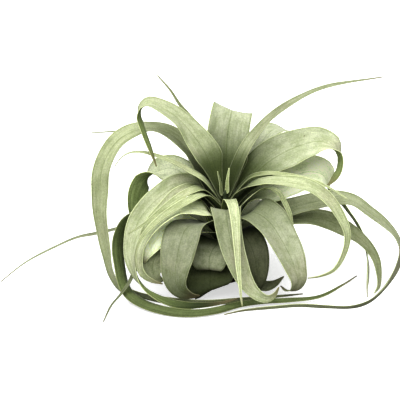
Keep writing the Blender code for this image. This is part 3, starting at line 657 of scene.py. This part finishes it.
def make_pattern(tree, blade):
    """Noises of the skin, from fine veins and scales to wide clouds."""
    stretch = add_stretch(tree, "drawn out veins", (-1200, -900), blade.sheet, VEIN_STRETCH)
    smear = add_stretch(tree, "drawn out patches", (-1200, -1700), blade.sheet, PATCH_STRETCH)
    return Pattern(
        veins=add_noise(tree, (-1000, -900), stretch, VEIN_NOISE),
        patches=add_noise(tree, (-1000, -1700), smear, PATCH_NOISE, blade.seed),
        blotches=add_noise(tree, (-1000, -700), blade.place, BLOTCH_NOISE),
        clouds=add_noise(tree, (-1000, -1500), blade.place, CLOUD_NOISE),
        scales=add_noise(tree, (-1000, -1100), blade.place, FINE_NOISE))


def colour_face(tree, given, blade, pattern):
    """Silver or young green, with a faint blush, worn patches and painted deep green shade."""
    colour = add_mix(tree, (-800, 300), blade.youth, given["Silver"], given["Young"])
    blush = add_ramp(tree, (-800, -1500), pattern.clouds, *BLUSH_RANGE)
    colour = add_mix(tree, (-700, 300), blush, colour, given["Blush"])
    patchy = add_math(tree, "MULTIPLY", (-900, -500), pattern.patches, PATCH_PART)
    blotchy = add_math(tree, "MULTIPLY", (-900, -700), pattern.blotches, BLOTCH_PART)
    mixed = add_math(tree, "ADD", (-900, -600), patchy, blotchy)
    worn = add_math(tree, "MULTIPLY", (-800, -500),
                    add_ramp(tree, (-800, -700), mixed, *WORN_RANGE), given["Mottling"])
    colour = add_mix(tree, (-600, 300), worn, colour, given["Flesh"])
    # Painted shade: the blade turns deep green where it lies under the leaves above
    deep = add_ramp(tree, (-600, -400), blade.depth, *DEEP_RANGE)
    return add_mix(tree, (-200, 300), deep, colour, given["Flesh"])


def colour_lines(tree, given, blade, colour):
    """Darker midrib, the thin rim with its painted highlight, and a painted dark line beside it."""
    offset = add_math(tree, "SUBTRACT", (-800, 0), blade.across, GRID_HALF)
    middle = add_math(tree, "ABSOLUTE", (-600, 0), offset, 0.0)
    rib = add_ramp(tree, (-400, 0), middle, *RIB_RANGE)
    colour = add_mix(tree, (0, 300), rib, colour, given["Flesh"])
    distance = add_math(tree, "DIVIDE", (-400, -150), blade.edge, given["Rim Width"])
    # Painted shade: a dark line just inside the painted rim highlight
    rim_shade = add_math(tree, "MULTIPLY", (-200, -200),
                      add_ramp(tree, (-300, -200), distance, *RIM_SHADE_START),
                      add_ramp(tree, (-300, -400), distance, *RIM_SHADE_END))
    colour = add_mix(tree, (100, 300), rim_shade, colour, given["Flesh"])
    # Painted highlight along the thin edge, where it catches the light
    bright = add_ramp(tree, (0, -100), distance, *RIM_RANGE)
    return add_mix(tree, (200, 300), bright, colour, given["Rim"])


def shade_face(tree, given, blade, pattern, colour):
    """Lighten and darken the colour by the veins, the scales and the painted light and shade."""
    lines = add_ramp(tree, (-600, -900), pattern.veins, *VEIN_RANGE)
    lines = add_math(tree, "MULTIPLY", (-500, -900), lines, given["Veining"])
    lines = add_math(tree, "ADD", (-450, -900), lines, 1.0)
    grain = add_ramp(tree, (-600, -1100), pattern.scales, *FINE_RANGE)
    # Painted shade: the blade is darker where it lies under the leaves above
    shade_darkening = add_ramp(tree, (-600, -600), blade.depth, *SHADE_DARKENING_RANGE)
    shading = add_math(tree, "MULTIPLY", (-400, -900), lines, grain)
    # Painted light and shade of the leaf
    shading = add_math(tree, "MULTIPLY", (-300, -900), shading, blade.light)
    shading = add_math(tree, "MULTIPLY", (-200, -900), shading, shade_darkening)
    mixing = add_node(tree, "ShaderNodeCombineColor", "shade", (0, -900))
    for socket in mixing.inputs:
        tree.links.new(shading, socket)
    return add_mix(tree, (400, 300), 1.0, colour, mixing.outputs[0], "MULTIPLY")


def dry_face(tree, given, blade, pattern, colour):
    """Brown specks in places, and the withered tips of grown leaves."""
    specks = add_node(tree, "ShaderNodeTexVoronoi", "specks", (-200, -1300))
    specks.inputs["Scale"].default_value = SPECK_SCALE
    tree.links.new(blade.place, specks.inputs["Vector"])
    spot = add_math(tree, "MULTIPLY", (200, -1100),
                    add_ramp(tree, (0, -1300), specks.outputs["Distance"], *SPECK_RANGE),
                    add_ramp(tree, (0, -1100), pattern.blotches, *SPECKLED_RANGE))
    colour = add_mix(tree, (600, 300), spot, colour, given["Dry"])
    withered = add_math(tree, "MULTIPLY", (400, -100),
                        add_ramp(tree, (200, -300), blade.share, *DRY_RANGE),
                        add_ramp(tree, (200, -500), blade.youth, *GROWN_RANGE))
    return add_mix(tree, (800, 300), withered, colour, given["Dry"])


def make_skin_group():
    """Group that colours a leaf face: scales, mottling, veins, midrib, painted light and shade, dry
    tip.
    """
    tree = bpy.data.node_groups.new("leaf skin", "ShaderNodeTree")
    add_skin_sockets(tree.interface)
    given = add_node(tree, "NodeGroupInput", "given", (-1400, 0)).outputs
    made = add_node(tree, "NodeGroupOutput", "made", (1800, 0)).inputs
    blade = read_blade(tree)
    pattern = make_pattern(tree, blade)
    colour = colour_face(tree, given, blade, pattern)
    colour = colour_lines(tree, given, blade, colour)
    colour = shade_face(tree, given, blade, pattern, colour)
    colour = dry_face(tree, given, blade, pattern, colour)
    rough = add_ramp(tree, (1000, -100), pattern.blotches, *ROUGHNESS_RANGE)
    scaly = add_math(tree, "MULTIPLY", (800, -300), pattern.scales, FINE_RELIEF)
    height = add_math(tree, "ADD", (1000, -300), pattern.veins, scaly)
    tree.links.new(colour, made["Color"])
    tree.links.new(rough, made["Roughness"])
    tree.links.new(height, made["Height"])
    return tree


def make_leaf_material(name, group, colours, mottling, veining, looks):
    """A leaf face: the shared skin group with its own colours on a Principled shader."""
    material, tree, shader = begin_material(name)
    skin = add_node(tree, "ShaderNodeGroup", "leaf skin", (-600, 0), node_tree=group)
    for socket, colour in zip(SKIN_COLOURS, colours):
        skin.inputs[socket].default_value = (*colour, 1.0)
    skin.inputs["Mottling"].default_value = mottling
    skin.inputs["Veining"].default_value = veining
    skin.inputs["Rim Width"].default_value = looks.rim_width / MM
    bump = add_node(tree, "ShaderNodeBump", "veins and scales", (-250, -300))
    bump.inputs["Strength"].default_value = looks.relief
    bump.inputs["Distance"].default_value = looks.relief_depth
    tree.links.new(skin.outputs["Color"], shader.inputs["Base Color"])
    tree.links.new(skin.outputs["Roughness"], shader.inputs["Roughness"])
    tree.links.new(skin.outputs["Height"], bump.inputs["Height"])
    tree.links.new(bump.outputs["Normal"], shader.inputs["Normal"])
    shader.inputs["Specular IOR Level"].default_value = looks.shine
    shader.inputs["Sheen Weight"].default_value = looks.sheen
    shader.inputs["Sheen Roughness"].default_value = SHEEN_ROUGHNESS
    shader.inputs["Subsurface Weight"].default_value = looks.glow
    shader.inputs["Subsurface Radius"].default_value = GLOW_RADIUS
    shader.inputs["Subsurface Scale"].default_value = looks.glow_depth
    return material


def leaf_materials(plant):
    """The three leaf materials in the order of their slots: underside, upper side and rim."""
    names = ("leaf underside", "leaf upper side", "leaf rim")
    if names[0] in bpy.data.materials:
        return [bpy.data.materials[name] for name in names]
    group = make_skin_group()
    skin = plant.skin
    # The underside is darker, partly its own green and partly painted shade on faces turned from
    # the light
    under = (skin.under, skin.under_young, skin.under_flesh, skin.under_rim, skin.dry, skin.under)
    above = (skin.silver, skin.young, skin.flesh, skin.rim, skin.dry, skin.blush)
    # The side faces of the blade take the painted rim highlight
    rim = (skin.rim, skin.rim, skin.rim, skin.rim, skin.dry, skin.rim)
    return [make_leaf_material(names[0], group, under, MOTTLING, UNDER_VEINING, skin),
            make_leaf_material(names[1], group, above, MOTTLING, UPPER_VEINING, skin),
            make_leaf_material(names[2], group, rim, 0.0, UPPER_VEINING, skin)]


def grow(context, chosen):
    """Lay the chosen leaves, each one in place of its plain node."""
    plant = context.scene.air_plant
    form = plant.form
    materials = leaf_materials(plant)
    for order, leaf in enumerate(LEAVES):
        if leaf.name not in chosen:
            continue
        mesh = lay_blade(leaf, order, form)
        thing = bpy.data.objects.new(leaf.name + "_blade", mesh)
        context.scene.collection.objects.link(thing)
        thing.vertex_groups.new(name="flesh")
        for material in materials:
            mesh.materials.append(material)
        shell = thing.modifiers.new("flesh", "SOLIDIFY")
        shell.thickness = form.thickness
        shell.offset = 0.0
        shell.vertex_group = "flesh"
        shell.thickness_vertex_group = form.edge_share
        shell.material_offset = 1
        shell.material_offset_rim = 2
        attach(thing, "root")
        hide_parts(leaf.name)


class LeafForm(bpy.types.PropertyGroup):
    """Sizes that every leaf shares"""
    row_length: bpy.props.FloatProperty(
        name="Row length", description="Length of blade between two rows", default=0.003,
        unit="LENGTH")
    column_width: bpy.props.FloatProperty(
        name="Column width", description="Width of blade between two columns", default=0.003,
        unit="LENGTH")
    least_columns: bpy.props.IntProperty(
        name="Least columns", description="Columns of the narrowest blade", default=6)
    tip_width: bpy.props.FloatProperty(
        name="Tip width", description="Width of a blade at its tip", default=0.0012,
        unit="LENGTH")
    thickness: bpy.props.FloatProperty(
        name="Thickness", description="Thickness of a blade at its midrib", default=0.0011,
        unit="LENGTH")
    edge_share: bpy.props.FloatProperty(
        name="Edge share", description="Thickness left at the edges", default=0.5,
        subtype="FACTOR")
    wave: bpy.props.FloatProperty(
        name="Wave", description="Height of the soft waves along the edges", default=0.0007,
        unit="LENGTH")
    crease: bpy.props.FloatProperty(
        name="Crease", description="Depth of the groove over the midrib", default=0.0005,
        unit="LENGTH")


class LeafSkin(bpy.types.PropertyGroup):
    """Colours and finish of the leaves"""
    silver: bpy.props.FloatVectorProperty(
        name="Silver", description="Scale covered upper side", default=(0.45, 0.48, 0.335),
        subtype="COLOR")
    young: bpy.props.FloatVectorProperty(
        name="Young", description="Upper side of a young leaf", default=(0.52, 0.58, 0.29),
        subtype="COLOR")
    # Flesh is also the deep green of the painted shade and of the painted dark line beside the rim
    flesh: bpy.props.FloatVectorProperty(
        name="Flesh", description="Green flesh where the scales are worn", subtype="COLOR",
        default=(0.14, 0.19, 0.05))
    # The underside colours are darker, partly the leaf's own green and partly painted shade
    under: bpy.props.FloatVectorProperty(
        name="Underside", description="Underside of a grown leaf", default=(0.158, 0.198, 0.078),
        subtype="COLOR")
    under_young: bpy.props.FloatVectorProperty(
        name="Young underside", description="Underside of a young leaf", subtype="COLOR",
        default=(0.26, 0.33, 0.10))
    under_flesh: bpy.props.FloatVectorProperty(
        name="Underside flesh", description="Green of the worn underside", subtype="COLOR",
        default=(0.055, 0.08, 0.022))
    # The underside rim is a painted highlight of the thin edges catching the light
    under_rim: bpy.props.FloatVectorProperty(
        name="Underside rim", description="Edge of the underside", subtype="COLOR",
        default=(0.42, 0.47, 0.2))
    # The rim colour is a painted highlight of the thin edges catching the light
    rim: bpy.props.FloatVectorProperty(
        name="Rim", description="Thin bright edge", default=(0.60, 0.66, 0.37),
        subtype="COLOR")
    dry: bpy.props.FloatVectorProperty(
        name="Dry", description="Dry tips and specks", default=(0.16, 0.13, 0.07),
        subtype="COLOR")
    blush: bpy.props.FloatVectorProperty(
        name="Blush", description="Faint tan tint", default=(0.42, 0.38, 0.27),
        subtype="COLOR")
    rim_width: bpy.props.FloatProperty(
        name="Rim width", description="Width of the bright edge", default=0.0007,
        unit="LENGTH")
    relief: bpy.props.FloatProperty(
        name="Relief", description="Strength of the veins and scales", default=0.5,
        subtype="FACTOR")
    relief_depth: bpy.props.FloatProperty(
        name="Relief depth", description="Depth of the veins", default=0.00025, unit="LENGTH")
    shine: bpy.props.FloatProperty(
        name="Shine", description="Specular level of a leaf", default=0.12, subtype="FACTOR")
    sheen: bpy.props.FloatProperty(
        name="Sheen", description="Silvery sheen of the scales", default=0.08,
        subtype="FACTOR")
    glow: bpy.props.FloatProperty(
        name="Glow", description="Light that passes through the flesh", default=0.1,
        subtype="FACTOR")
    glow_depth: bpy.props.FloatProperty(
        name="Glow depth", description="How far the light passes", default=0.001,
        unit="LENGTH")


class StemForm(bpy.types.PropertyGroup):
    """Sizes and colours of the stem"""
    foot_radius: bpy.props.FloatProperty(
        name="Foot radius", description="Radius of the flat foot", default=0.014,
        unit="LENGTH")
    foot_height: bpy.props.FloatProperty(
        name="Foot height", description="Height of the straight foot", default=0.010,
        unit="LENGTH")
    top: bpy.props.FloatProperty(
        name="Top", description="Height of the stem in the heart", default=0.094,
        unit="LENGTH")
    ridge: bpy.props.FloatProperty(
        name="Ridge", description="Depth of the scars of old leaves", default=0.0006,
        unit="LENGTH")
    bark: bpy.props.FloatVectorProperty(
        name="Bark", description="Dry fibres", default=(0.12, 0.085, 0.05), subtype="COLOR")
    heart: bpy.props.FloatVectorProperty(
        name="Heart", description="Dark green of the stem in the heart", subtype="COLOR",
        default=(0.03, 0.045, 0.015))
    crack: bpy.props.FloatVectorProperty(
        name="Crack", description="Cracks between the fibres", default=(0.035, 0.025, 0.015),
        subtype="COLOR")


class StageForm(bpy.types.PropertyGroup):
    """The studio: camera, floor and light"""
    distance: bpy.props.FloatProperty(
        name="Distance", description="Camera to the middle of the plant", default=1.5,
        unit="LENGTH")
    elevation: bpy.props.FloatProperty(
        name="Elevation", description="Height of the camera as an angle", default=radians(18),
        subtype="ANGLE")
    target: bpy.props.FloatVectorProperty(
        name="Target", description="Point that the camera looks at", default=(-0.025, 0.0, 0.084),
        subtype="TRANSLATION")
    lens: bpy.props.FloatProperty(
        name="Lens", description="Focal length in millimetres on a 36 mm sensor", default=135.0)
    floor_side: bpy.props.FloatProperty(
        name="Floor side", description="Side of the floor", default=12.0, unit="LENGTH")
    paper: bpy.props.FloatVectorProperty(
        name="Paper", description="White of the floor", default=(0.95, 0.95, 0.95),
        subtype="COLOR")
    paper_glow: bpy.props.FloatVectorProperty(
        name="Paper glow", description="Light of the lit paper in its shadows",
        default=(0.47, 0.47, 0.47), subtype="COLOR")
    bounce: bpy.props.FloatVectorProperty(
        name="Bounce", description="Light that the floor throws back on the leaves",
        default=(0.25, 0.25, 0.24), subtype="COLOR")
    sky: bpy.props.FloatProperty(
        name="Sky", description="Strength of the white surroundings", default=0.45)
    sun: bpy.props.FloatProperty(
        name="Main light", description="Strength of the wide soft light", default=3.3)
    sun_spread: bpy.props.FloatProperty(
        name="Softness", description="Angle that the main light fills", subtype="ANGLE",
        default=radians(80))
    sun_from: bpy.props.FloatVectorProperty(
        name="Light from", description="Direction of the main light", subtype="DIRECTION",
        default=(-0.28, -0.42, 1.0))


class AirPlant(bpy.types.PropertyGroup):
    """Everything a user can change"""
    form: bpy.props.PointerProperty(type=LeafForm)
    skin: bpy.props.PointerProperty(type=LeafSkin)
    stem: bpy.props.PointerProperty(type=StemForm)
    stage: bpy.props.PointerProperty(type=StageForm)


class AIRPLANT_OT_old_leaves(bpy.types.Operator):
    """Lay the oldest and lowest leaves, which run along the floor and hide the stem"""
    bl_idname = "air_plant.old_leaves"
    bl_label = "Lay old leaves"

    def execute(self, context):
        grow(context, {leaf.name for leaf in LEAVES[:OLD_COUNT]})
        return {"FINISHED"}


class AIRPLANT_OT_grown_leaves(bpy.types.Operator):
    """Lay the broad grown leaves that arch over and curl down"""
    bl_idname = "air_plant.grown_leaves"
    bl_label = "Lay grown leaves"

    def execute(self, context):
        names = {leaf.name for leaf in LEAVES[OLD_COUNT:]}
        grow(context, names.difference(YOUNG_NAMES, HEART_NAMES))
        return {"FINISHED"}


class AIRPLANT_OT_young_leaves(bpy.types.Operator):
    """Lay the narrow bright young leaves"""
    bl_idname = "air_plant.young_leaves"
    bl_label = "Lay young leaves"

    def execute(self, context):
        grow(context, set(YOUNG_NAMES))
        return {"FINISHED"}


class AIRPLANT_OT_heart_leaves(bpy.types.Operator):
    """Lay the two small leaves that stand in the heart"""
    bl_idname = "air_plant.heart_leaves"
    bl_label = "Lay heart leaves"

    def execute(self, context):
        grow(context, set(HEART_NAMES))
        return {"FINISHED"}


def make_bark(stem):
    """Dry brown fibres with dark cracks, green towards the heart."""
    material, tree, shader = begin_material("stem bark")
    place = add_node(tree, "ShaderNodeTexCoord", "place", (-900, 0)).outputs["Object"]
    stretch = add_stretch(tree, "upright fibres", (-700, 0), place, BARK_STRETCH)
    fibres = add_noise(tree, (-500, 0), stretch, BARK_NOISE)
    mask = add_ramp(tree, (-300, 0), fibres, *BARK_RANGE)
    colour = add_mix(tree, (-100, 100), mask, (*stem.crack, 1.0), (*stem.bark, 1.0))
    height = add_node(tree, "ShaderNodeSeparateXYZ", "height", (-500, 300))
    tree.links.new(place, height.inputs[0])
    green = add_ramp(tree, (-300, 300), height.outputs[2], *GREEN_HEIGHTS)
    colour = add_mix(tree, (0, 100), green, colour, (*stem.heart, 1.0))
    tree.links.new(colour, shader.inputs["Base Color"])
    bump = add_node(tree, "ShaderNodeBump", "fibres", (-100, -200))
    bump.inputs["Distance"].default_value = BARK_RELIEF
    tree.links.new(fibres, bump.inputs["Height"])
    tree.links.new(bump.outputs["Normal"], shader.inputs["Normal"])
    shader.inputs["Roughness"].default_value = BARK_ROUGHNESS
    return material


class AIRPLANT_OT_stem(bpy.types.Operator):
    """Turn the short woody stem with the scars of old leaves"""
    bl_idname = "air_plant.stem"
    bl_label = "Turn stem"

    def execute(self, context):
        stem = context.scene.air_plant.stem
        low_radius, low_height = (value * MM for value in seat_of(0.0))
        high_radius, high_height = (value * MM for value in seat_of(1.0))
        heights = np.arange(low_height, high_height, STEM_ROW)
        radii = np.interp(heights, [low_height, high_height], [low_radius, high_radius])
        scars = stem.ridge * (1 + np.sin(heights / STEM_ROW * pi * 2 / SCAR_ROWS)) / 2
        profile = [(0.0, 0.0), (stem.foot_radius, 0.0), (stem.foot_radius, stem.foot_height)]
        profile += list(zip(radii - scars, heights))
        profile += [(high_radius, high_height), (high_radius / 2, stem.top), (0.0, stem.top)]
        turned = bmesh.new()
        points = [turned.verts.new((radius, 0.0, height)) for radius, height in profile]
        rails = [turned.edges.new(pair) for pair in zip(points, points[1:])]
        bmesh.ops.spin(turned, geom=points + rails, cent=(0, 0, 0), axis=(0, 0, 1),
                       angle=2 * pi, steps=STEM_SIDES, use_merge=True)
        bmesh.ops.remove_doubles(turned, verts=turned.verts, dist=MERGE_DISTANCE)
        bmesh.ops.recalc_face_normals(turned, faces=turned.faces)
        mesh = end_mesh(turned, "stem_bark")
        mesh.shade_smooth()
        mesh.materials.append(make_bark(stem))
        thing = bpy.data.objects.new("stem_bark", mesh)
        context.scene.collection.objects.link(thing)
        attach(thing, "root")
        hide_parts("stem")
        return {"FINISHED"}


def make_paper(stage):
    """White paper that glows a little to the camera, and throws soft light back on the leaves."""
    paper, tree, shader = begin_material("white paper")
    seen = add_node(tree, "ShaderNodeLightPath", "seen", (-500, 0)).outputs["Is Camera Ray"]
    tint = add_mix(tree, (-250, 0), seen, (*stage.bounce, 1.0), (*stage.paper, 1.0))
    glow = add_mix(tree, (-250, -300), seen, (0.0, 0.0, 0.0, 1.0), (*stage.paper_glow, 1.0))
    tree.links.new(tint, shader.inputs["Base Color"])
    tree.links.new(glow, shader.inputs["Emission Color"])
    shader.inputs["Emission Strength"].default_value = 1.0
    shader.inputs["Roughness"].default_value = PAPER_ROUGHNESS
    shader.inputs["Specular IOR Level"].default_value = PAPER_SHINE
    return paper


def set_camera(context, stage):
    """Aim the camera at the plant from the height of the photo's view."""
    data = bpy.data.cameras.new("camera")
    data.lens = stage.lens
    data.sensor_width = SENSOR_WIDTH
    camera = bpy.data.objects.new("camera", data)
    back = Vector((0.0, -cos(stage.elevation), sin(stage.elevation)))
    camera.location = stage.target + back * stage.distance
    camera.rotation_euler = (pi / 2 - stage.elevation, 0.0, 0.0)
    context.scene.collection.objects.link(camera)
    context.scene.camera = camera


def lay_floor(context, stage):
    """Lay the wide sheet of paper that the plant stands on."""
    sheet = bmesh.new()
    bmesh.ops.create_grid(sheet, x_segments=1, y_segments=1, size=stage.floor_side / 2)
    mesh = end_mesh(sheet, "floor")
    mesh.materials.append(make_paper(stage))
    floor = bpy.data.objects.new("floor", mesh)
    context.scene.collection.objects.link(floor)


def set_light(context, stage):
    """White surroundings and one wide soft light from the upper left."""
    world = bpy.data.worlds.new("white studio")
    world.use_nodes = True
    sky = world.node_tree.nodes["Background"]
    sky.inputs["Color"].default_value = (1.0, 1.0, 1.0, 1.0)
    sky.inputs["Strength"].default_value = stage.sky
    context.scene.world = world
    data = bpy.data.lights.new("soft light", "SUN")
    data.energy = stage.sun
    data.angle = stage.sun_spread
    light = bpy.data.objects.new("soft light", data)
    light.rotation_euler = Vector(stage.sun_from).to_track_quat("Z", "Y").to_euler()
    context.scene.collection.objects.link(light)
    context.scene.view_settings.view_transform = "Standard"
    context.scene.view_settings.look = "Medium High Contrast"


class AIRPLANT_OT_stage(bpy.types.Operator):
    """Set the camera, the plain pale floor and the soft studio light"""
    bl_idname = "air_plant.stage"
    bl_label = "Set stage"

    def execute(self, context):
        stage = context.scene.air_plant.stage
        set_camera(context, stage)
        lay_floor(context, stage)
        set_light(context, stage)
        return {"FINISHED"}


class AIRPLANT_PT_panel(bpy.types.Panel):
    """Buttons of the air plant dresser"""
    bl_idname = "AIRPLANT_PT_panel"
    bl_label = "Air plant"
    bl_space_type = "VIEW_3D"
    bl_region_type = "UI"
    bl_category = "Air plant"

    def draw(self, context):
        for operator in OPERATORS:
            self.layout.operator(operator.bl_idname)


OPERATORS = (AIRPLANT_OT_stem, AIRPLANT_OT_old_leaves, AIRPLANT_OT_grown_leaves,
             AIRPLANT_OT_young_leaves, AIRPLANT_OT_heart_leaves, AIRPLANT_OT_stage)
CLASSES = (LeafForm, LeafSkin, StemForm, StageForm, AirPlant, *OPERATORS, AIRPLANT_PT_panel)


def register():
    for item in CLASSES:
        bpy.utils.register_class(item)
    bpy.types.Scene.air_plant = bpy.props.PointerProperty(type=AirPlant)


def unregister():
    del bpy.types.Scene.air_plant
    for item in reversed(CLASSES):
        bpy.utils.unregister_class(item)


def main():
    register()
    bpy.ops.air_plant.stem()
    bpy.ops.air_plant.old_leaves()
    bpy.ops.air_plant.grown_leaves()
    bpy.ops.air_plant.young_leaves()
    bpy.ops.air_plant.heart_leaves()
    bpy.ops.air_plant.stage()


if __name__ == "__main__":
    main()
